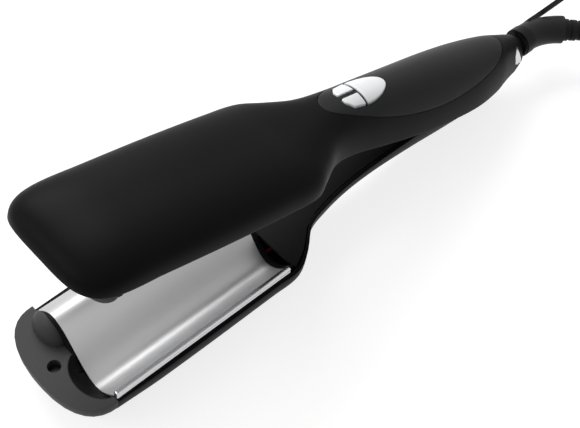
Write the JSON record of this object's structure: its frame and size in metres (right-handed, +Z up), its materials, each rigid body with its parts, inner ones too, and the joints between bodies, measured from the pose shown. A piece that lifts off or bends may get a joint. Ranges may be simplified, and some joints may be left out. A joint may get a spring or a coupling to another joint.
{
  "type": "hair waver",
  "caption": "Two sprung arms with wave-shaped heated plates, an inset panel with pressing buttons, a hanging loop and a swivelling mains cord with plug.",
  "frame": {"origin": "centre of the base of the box round the two arms and the swivel with its hanging loop, on the plane that the lower arm lies on", "axes": "+X along the lower arm from its nose to the cord end, +Y across towards the hanging loop, +Z up from the lower arm to the upper arm"},
  "size_m": [0.5358, 0.1022, 0.1077],
  "materials": {
    "shell_black": "soft-touch black",
    "cover_black": "fine texture",
    "carrier_black": "heat-proof, matt",
    "nose_grey": "fine texture",
    "plate_metal": "lengthwise brushed",
    "rail_metal": "polished",
    "steel": "bright",
    "spring_steel": "drawn wire",
    "bronze": "turned",
    "heater_white": "sintered",
    "sensor_amber": "glass bead",
    "fuse_metal": "drawn can",
    "wire_red": "silicone sleeve",
    "panel_grey": "satin",
    "board_green": "laminate",
    "switch_metal": "stamped",
    "button_white": "glossy",
    "collar_black": "glossy",
    "sleeve_grey": "satin",
    "relief_black": "moulded",
    "cord_black": "smooth sheath",
    "plug_black": "satin",
    "pin_metal": "plated"
  },
  "bodies": {
    "lower_arm": {"lower_shell": "shell_black", "lower_handle_cover": "cover_black", "lower_nose_cap": "nose_grey", "lower_carrier": "carrier_black", "lower_plate": "plate_metal", "lower_rail": "rail_metal", "lower_dome": "nose_grey", "lower_heater": "heater_white", "lower_heater_clip": "spring_steel", "lower_thermistor": "sensor_amber", "lower_screws": "steel", "lower_wires": "wire_red", "nose_screw": "steel", "hinge_bracket": "steel", "hinge_bushes": "bronze", "hinge_spring": "spring_steel", "swivel_collar": "collar_black"},
    "upper_arm": {"hinge_pin": "steel", "upper_shell": "shell_black", "upper_handle_cover": "cover_black", "upper_nose_deck": "carrier_black", "upper_carrier": "carrier_black", "upper_plate": "plate_metal", "upper_rail": "rail_metal", "upper_dome": "nose_grey", "upper_heater": "heater_white", "upper_heater_clip": "spring_steel", "upper_thermistor": "sensor_amber", "thermal_fuse": "fuse_metal", "upper_screws": "steel", "upper_wires": "wire_red", "handle_panel": "panel_grey", "circuit_board": "board_green", "tact_switches": "switch_metal", "board_screws": "steel"},
    "power_button": {"power_button": "button_white"},
    "plus_button": {"plus_button": "button_white"},
    "minus_button": {"minus_button": "button_white"},
    "cord": {"swivel_barrel": "sleeve_grey", "cord_sleeve": "sleeve_grey", "strain_relief": "relief_black", "cord_tube": "cord_black", "cord_coil": "cord_black", "plug_body": "plug_black", "plug_pins": "pin_metal"}
  },
  "joints": [
    {"name": "arm_hinge", "type": "hinge", "parent": "lower_arm", "child": "upper_arm", "pos_m": [0.12575, 0, 0.021], "axis": [0, -1, 0], "range_deg": [0, 13.2], "stiffness_Nm_per_rad": 1.5, "springref_deg": -11.46},
    {"name": "power_press", "type": "slide", "parent": "upper_arm", "child": "power_button", "axis": [-0.23, 0, -0.9732], "range_m": [0, 0.0006], "stiffness_N_per_m": 400, "springref_m": -0.001},
    {"name": "plus_press", "type": "slide", "parent": "upper_arm", "child": "plus_button", "axis": [-0.23, 0, -0.9732], "range_m": [0, 0.0006], "stiffness_N_per_m": 400, "springref_m": -0.001},
    {"name": "minus_press", "type": "slide", "parent": "upper_arm", "child": "minus_button", "axis": [-0.23, 0, -0.9732], "range_m": [0, 0.0006], "stiffness_N_per_m": 400, "springref_m": -0.001},
    {"name": "cord_swivel", "type": "hinge", "parent": "lower_arm", "child": "cord", "pos_m": [0.14145, 0, 0.0245], "axis": [1, 0, 0], "continuous": true}
  ]
}
